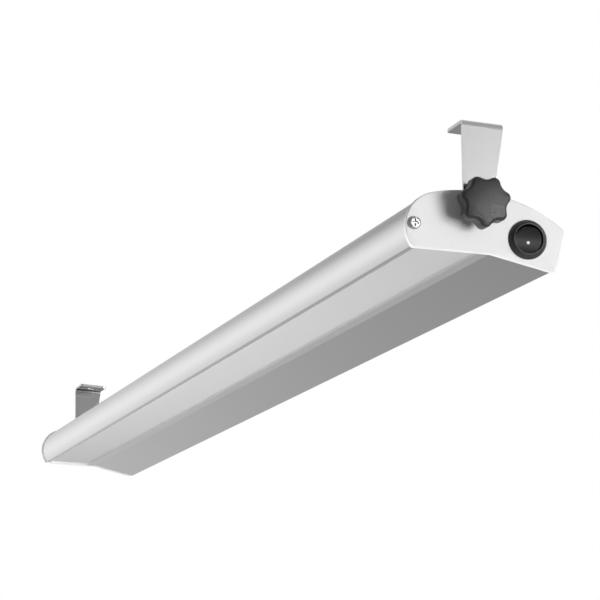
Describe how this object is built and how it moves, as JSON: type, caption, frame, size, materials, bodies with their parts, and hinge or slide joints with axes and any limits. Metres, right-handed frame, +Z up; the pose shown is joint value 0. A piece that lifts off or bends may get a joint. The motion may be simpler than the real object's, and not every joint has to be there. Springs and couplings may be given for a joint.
{
  "type": "led work light",
  "caption": "Long hanging LED work light: round-nosed aluminium housing with an opal window below, white end caps, tilting steel hangers with star knobs and a rocker switch.",
  "frame": {"origin": "midway between the two hanger holes, on the top faces of the hanger flanges, where they meet the shelf", "axes": "+X along the lamp towards the end with the switch, +Y to the rear, away from the round nose, +Z up"},
  "size_m": [1.242, 0.0945, 0.0818],
  "materials": {
    "housing_metal": "satin anodised",
    "cap_paint": "smooth white powder coat",
    "opal_plastic": "opal, matt",
    "hanger_steel": "fine brushed, satin",
    "zinc_steel": "bright zinc plated",
    "knob_plastic": "fine spark-eroded grain",
    "switch_plastic": "smooth moulded",
    "insert_brass": "machined",
    "washer_fibre": "fibre, matt",
    "board_white": "white solder mask",
    "chip_yellow": "silicone covered",
    "link_white": "moulded",
    "driver_plastic": "moulded",
    "board_green": "solder mask",
    "ferrite": "sintered",
    "capacitor_sleeve": "shrunk sleeve",
    "terminal_grey": "moulded",
    "foam": "closed-cell foam",
    "grommet_rubber": "moulded",
    "wire_brown": "insulation",
    "wire_blue": "insulation",
    "wire_green": "insulation",
    "wire_red": "insulation",
    "wire_black": "insulation"
  },
  "bodies": {
    "hangers": {"hanger_left": "hanger_steel", "hanger_right": "hanger_steel"},
    "lamp": {"housing": "housing_metal", "window": "opal_plastic", "led_chips": "chip_yellow", "led_board_screws": "zinc_steel", "led_board_links": "link_white", "cap_screws": "zinc_steel", "switch_body": "switch_plastic", "switch_tabs": "insert_brass", "inlet_body": "switch_plastic", "inlet_pins": "insert_brass", "driver_tray": "driver_plastic", "driver_lid": "driver_plastic", "driver_board": "board_green", "driver_transformer": "ferrite", "driver_capacitors": "capacitor_sleeve", "driver_choke": "ferrite", "driver_input_terminal": "terminal_grey", "driver_output_terminal": "terminal_grey", "driver_pads": "foam", "earth_screw": "zinc_steel", "earth_tag": "insert_brass", "grommet": "grommet_rubber", "wire_live": "wire_brown", "wire_neutral": "wire_blue", "wire_switched": "wire_brown", "wire_earth": "wire_green", "wire_led_plus": "wire_red", "wire_led_minus": "wire_black", "led_board_left": "board_white", "led_board_middle": "board_white", "led_board_right": "board_white", "end_cap_left": "cap_paint", "stud_left": "zinc_steel", "friction_washer_left": "washer_fibre", "knob_washer_left": "zinc_steel", "end_cap_right": "cap_paint", "stud_right": "zinc_steel", "friction_washer_right": "washer_fibre", "knob_washer_right": "zinc_steel"},
    "right_knob": {"knob_right": "knob_plastic", "knob_insert_right": "insert_brass"},
    "left_knob": {"knob_left": "knob_plastic", "knob_insert_left": "insert_brass"},
    "rocker": {"switch_rocker": "switch_plastic"}
  },
  "joints": [
    {"name": "lamp_tilt", "type": "hinge", "parent": "hangers", "child": "lamp", "pos_m": [0, 0, -0.0495], "axis": [1, 0, 0], "range_deg": [-84, 60]},
    {"name": "right_knob_turn", "type": "hinge", "parent": "lamp", "child": "right_knob", "pos_m": [0.61, 0, -0.0495], "axis": [1, 0, 0], "continuous": true},
    {"name": "left_knob_turn", "type": "hinge", "parent": "lamp", "child": "left_knob", "pos_m": [-0.61, 0, -0.0495], "axis": [-1, 0, 0], "continuous": true},
    {"name": "switch_rock", "type": "hinge", "parent": "lamp", "child": "rocker", "pos_m": [0.599, 0.0318, -0.0649], "axis": [0, 1, 0], "range_deg": [-18, 0]}
  ]
}
